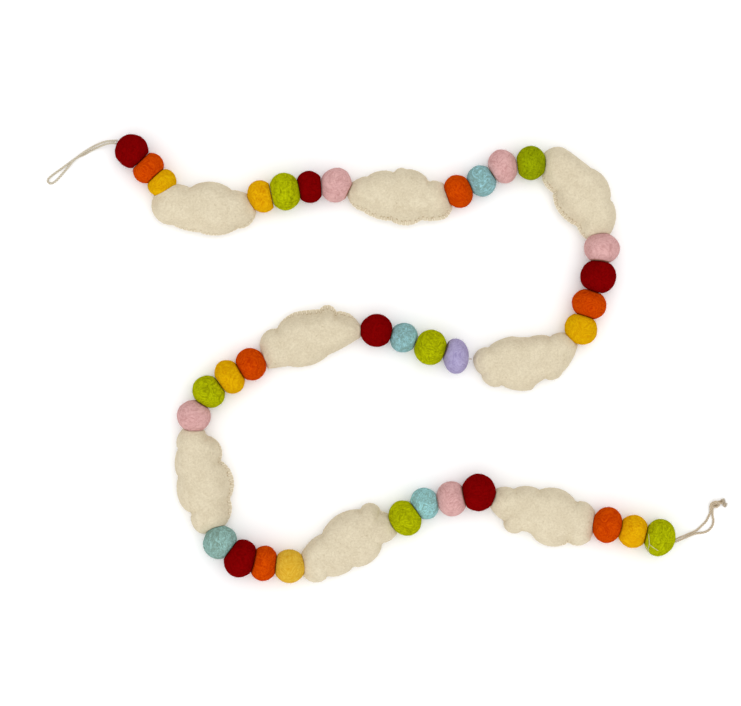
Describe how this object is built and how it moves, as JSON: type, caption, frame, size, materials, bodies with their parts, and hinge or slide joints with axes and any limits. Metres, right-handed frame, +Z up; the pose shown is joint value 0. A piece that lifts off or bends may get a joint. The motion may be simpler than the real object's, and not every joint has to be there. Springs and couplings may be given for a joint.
{
  "type": "felt ball and cloud garland",
  "caption": "Garland of felt balls and stuffed felt clouds strung on a cord, laid out in a winding line, with a hanging loop at one end and a knot at the other.",
  "frame": {"origin": "under the middle of the strung balls and clouds, on the surface they lie on", "axes": "+X to the right along the garland's longer side as laid out, +Y up the layout, +Z up off the surface"},
  "size_m": [0.6848, 0.4493, 0.0376],
  "materials": {
    "felt_dark_red": "matt wool felt with fine matted fibres",
    "felt_orange": "matt wool felt with fine matted fibres",
    "felt_yellow": "matt wool felt with fine matted fibres",
    "felt_lime": "matt wool felt with fine matted fibres",
    "felt_pink": "matt wool felt with fine matted fibres",
    "felt_blue": "matt wool felt with fine matted fibres",
    "felt_lavender": "matt wool felt with fine matted fibres",
    "felt_cream": "matt wool felt with fine matted fibres",
    "cord": "twisted natural cotton cord"
  },
  "bodies": {
    "root": {"ball_01": "felt_dark_red", "ball_02": "felt_orange", "ball_03": "felt_yellow", "ball_04": "felt_yellow", "ball_05": "felt_lime", "ball_06": "felt_dark_red", "ball_07": "felt_pink", "ball_08": "felt_orange", "ball_09": "felt_blue", "ball_10": "felt_pink", "ball_11": "felt_lime", "ball_12": "felt_pink", "ball_13": "felt_dark_red", "ball_14": "felt_orange", "ball_15": "felt_yellow", "ball_16": "felt_lavender", "ball_17": "felt_lime", "ball_18": "felt_blue", "ball_19": "felt_dark_red", "ball_20": "felt_orange", "ball_21": "felt_yellow", "ball_22": "felt_lime", "ball_23": "felt_pink", "ball_24": "felt_blue", "ball_25": "felt_dark_red", "ball_26": "felt_orange", "ball_27": "felt_yellow", "ball_28": "felt_lime", "ball_29": "felt_blue", "ball_30": "felt_pink", "ball_31": "felt_dark_red", "ball_32": "felt_orange", "ball_33": "felt_yellow", "ball_34": "felt_lime", "cloud_1": "felt_cream", "cloud_2": "felt_cream", "cloud_3": "felt_cream", "cloud_4": "felt_cream", "cloud_5": "felt_cream", "cloud_6": "felt_cream", "cloud_7": "felt_cream", "cloud_8": "felt_cream", "hanging_loop": "cord", "end_cord_upper": "cord", "end_cord_lower": "cord", "end_knot": "cord", "knot_tail_1": "cord", "knot_tail_2": "cord", "string_at_cloud_4": "cord"}
  },
  "joints": []
}
